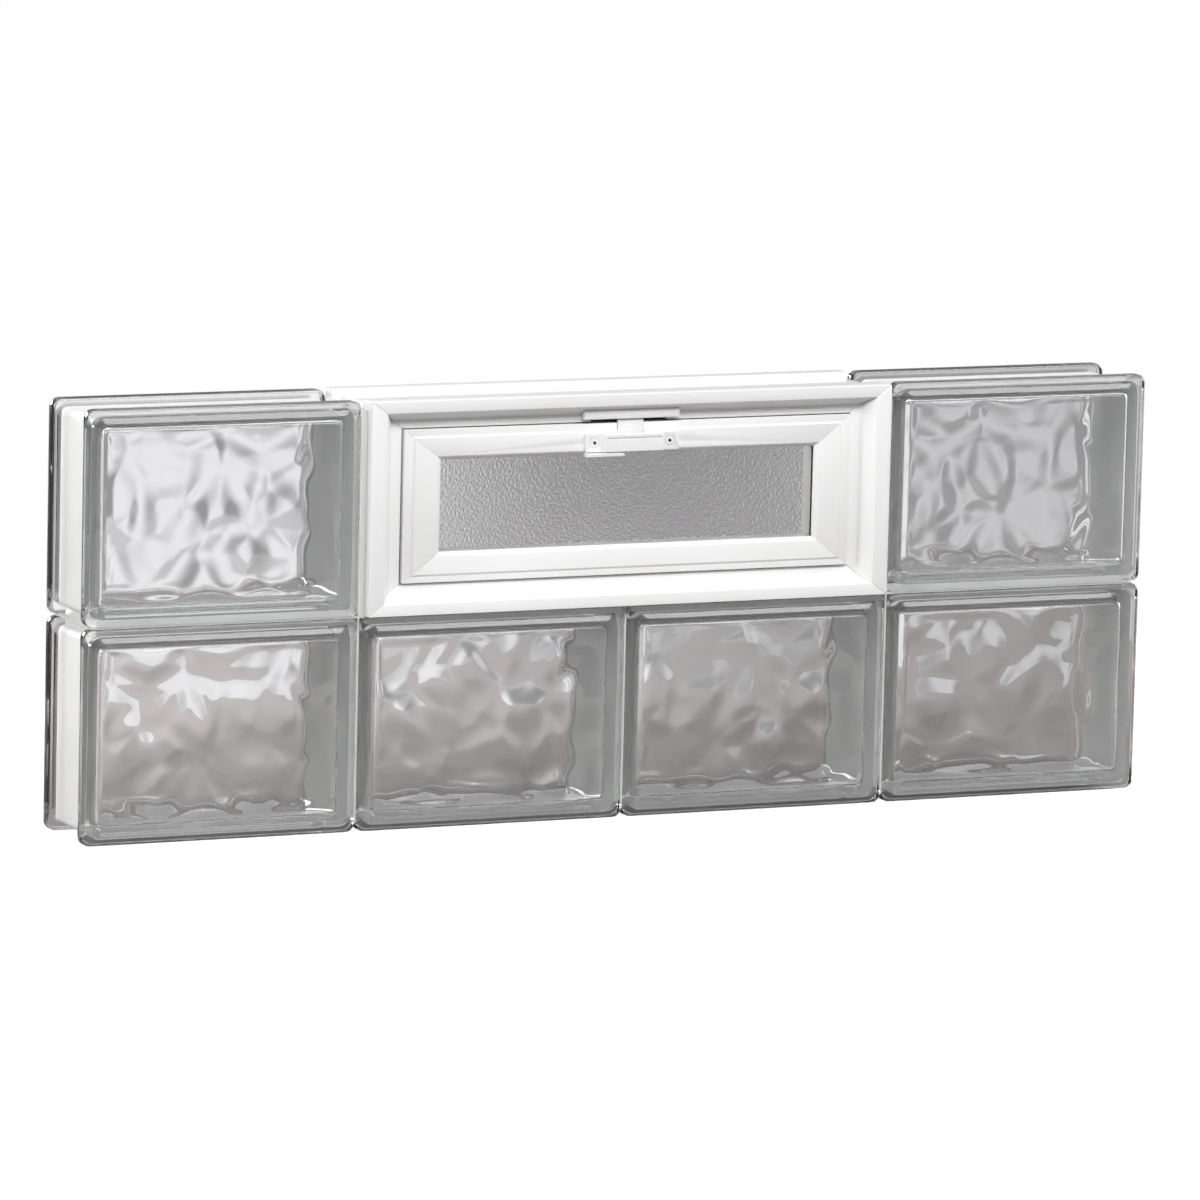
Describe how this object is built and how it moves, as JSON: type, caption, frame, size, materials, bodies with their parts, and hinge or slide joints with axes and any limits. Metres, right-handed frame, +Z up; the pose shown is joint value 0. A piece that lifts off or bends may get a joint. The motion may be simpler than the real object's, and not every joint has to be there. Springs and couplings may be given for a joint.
{
  "type": "glass block window panel",
  "caption": "Frameless panel of hollow wave-pattern glass blocks bonded edge to edge, with a white vinyl tilt-in hopper vent and its latch in the upper row, for a basement or bathroom opening",
  "frame": {"origin": "middle of the panel's foot, halfway between the vent's face and the rear faces of the blocks", "axes": "+X along the width, to the right seen from the room; +Y through the panel, from the room side with the latch to the outdoor side; +Z up"},
  "size_m": [0.7872, 0.0834, 0.2921],
  "materials": {
    "block_glass": "pressed clear",
    "silicone": "satin",
    "vinyl": "satin",
    "obscure_glass": "hammered",
    "latch": "satin",
    "screw": "satin",
    "pin": "brushed"
  },
  "bodies": {
    "root": {"upper_left_block_front_half": "block_glass", "upper_left_block_rear_half": "block_glass", "upper_right_block_front_half": "block_glass", "upper_right_block_rear_half": "block_glass", "lower_block_1_front_half": "block_glass", "lower_block_1_rear_half": "block_glass", "lower_block_2_front_half": "block_glass", "lower_block_2_rear_half": "block_glass", "lower_block_3_front_half": "block_glass", "lower_block_3_rear_half": "block_glass", "lower_block_4_front_half": "block_glass", "lower_block_4_rear_half": "block_glass", "bed_joint": "silicone", "lower_left_joint": "silicone", "lower_middle_joint": "silicone", "lower_right_joint": "silicone", "vent_left_joint": "silicone", "vent_right_joint": "silicone", "vent_head": "vinyl", "vent_sill": "vinyl", "vent_left_jamb": "vinyl", "vent_right_jamb": "vinyl", "sash_top_rail": "vinyl", "sash_bottom_rail": "vinyl", "sash_left_stile": "vinyl", "sash_right_stile": "vinyl", "obscure_glass_pane": "obscure_glass", "sash_left_pivot_pin": "pin", "sash_right_pivot_pin": "pin", "latch_housing": "latch", "latch_bolt": "latch", "latch_lever": "latch", "latch_keeper": "latch", "latch_left_screw": "screw", "latch_right_screw": "screw"}
  },
  "joints": []
}
